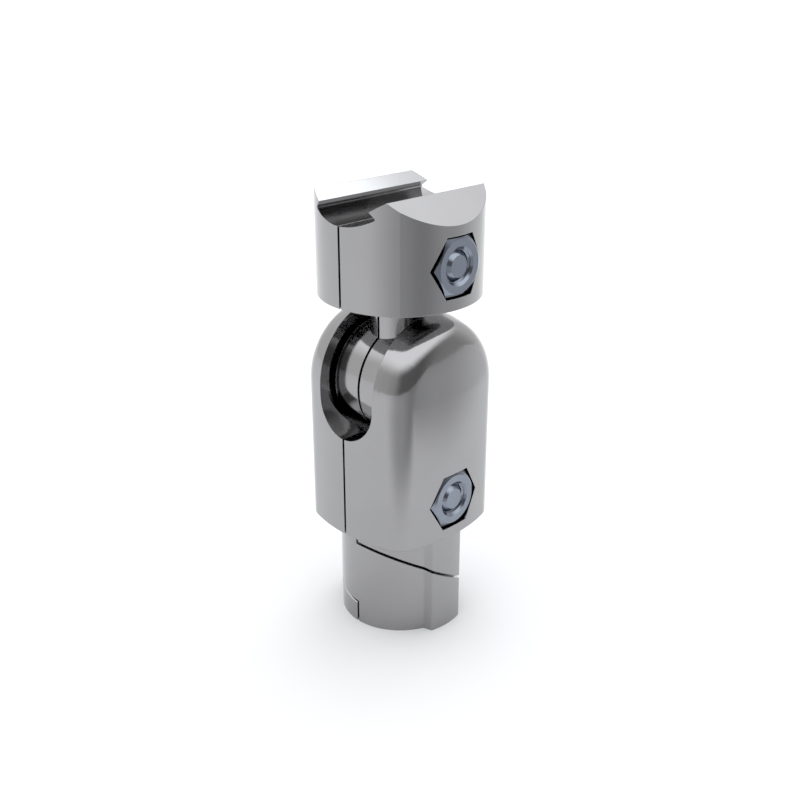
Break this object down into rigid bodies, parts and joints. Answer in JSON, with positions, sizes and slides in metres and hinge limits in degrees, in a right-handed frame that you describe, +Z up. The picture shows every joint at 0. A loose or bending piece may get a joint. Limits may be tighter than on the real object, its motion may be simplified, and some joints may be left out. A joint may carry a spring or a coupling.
{
  "type": "swivel angle connector",
  "caption": "Swivelling angle connector for profile tube: a split stub plugs into one tube end, a split jaw clamps along another tube, and clamp screws lock the swing between them.",
  "frame": {"origin": "centre of the stub's lower end face", "axes": "+Z up along the stub to the jaws, +Y from the nuts' side to the screw heads' side, which is also the swivel axis, X along the clamped tube"},
  "size_m": [0.029, 0.029, 0.0842],
  "materials": {
    "casting": "satin die-cast",
    "fastener": "bright zinc plate"
  },
  "bodies": {
    "housing_rear": {"housing_half_rear": "casting"},
    "housing_front": {"housing_half_front": "casting", "housing_clamp_nut": "fastener"},
    "housing_screw": {"housing_clamp_screw": "fastener"},
    "head": {"head_half_rear": "casting"},
    "head_front": {"head_half_front": "casting", "head_clamp_nut": "fastener"},
    "head_screw": {"head_clamp_screw": "fastener"}
  },
  "joints": [
    {"name": "head_swivel", "type": "hinge", "parent": "housing_rear", "child": "head", "pos_m": [0, 0, 0.0485], "axis": [0, 1, 0], "range_deg": [-90, 90]},
    {"name": "housing_clamp_open", "type": "slide", "parent": "housing_rear", "child": "housing_front", "axis": [0, -1, 0], "range_m": [0, 0.0004]},
    {"name": "housing_screw_turn", "type": "hinge", "parent": "housing_rear", "child": "housing_screw", "pos_m": [0, 0, 0.02815], "axis": [0, 1, 0], "range_deg": [0, 146]},
    {"name": "head_clamp_open", "type": "slide", "parent": "head", "child": "head_front", "axis": [0, -1, 0], "range_m": [0, 0.0003]},
    {"name": "head_screw_turn", "type": "hinge", "parent": "head", "child": "head_screw", "pos_m": [0, 0, 0.0725], "axis": [0, 1, 0], "range_deg": [0, 110]}
  ],
  "couplings": [
    {"joint": "housing_screw_turn", "follows": "housing_clamp_open", "rad_per_m": 6283.2},
    {"joint": "head_screw_turn", "follows": "head_clamp_open", "rad_per_m": 6283.2}
  ]
}
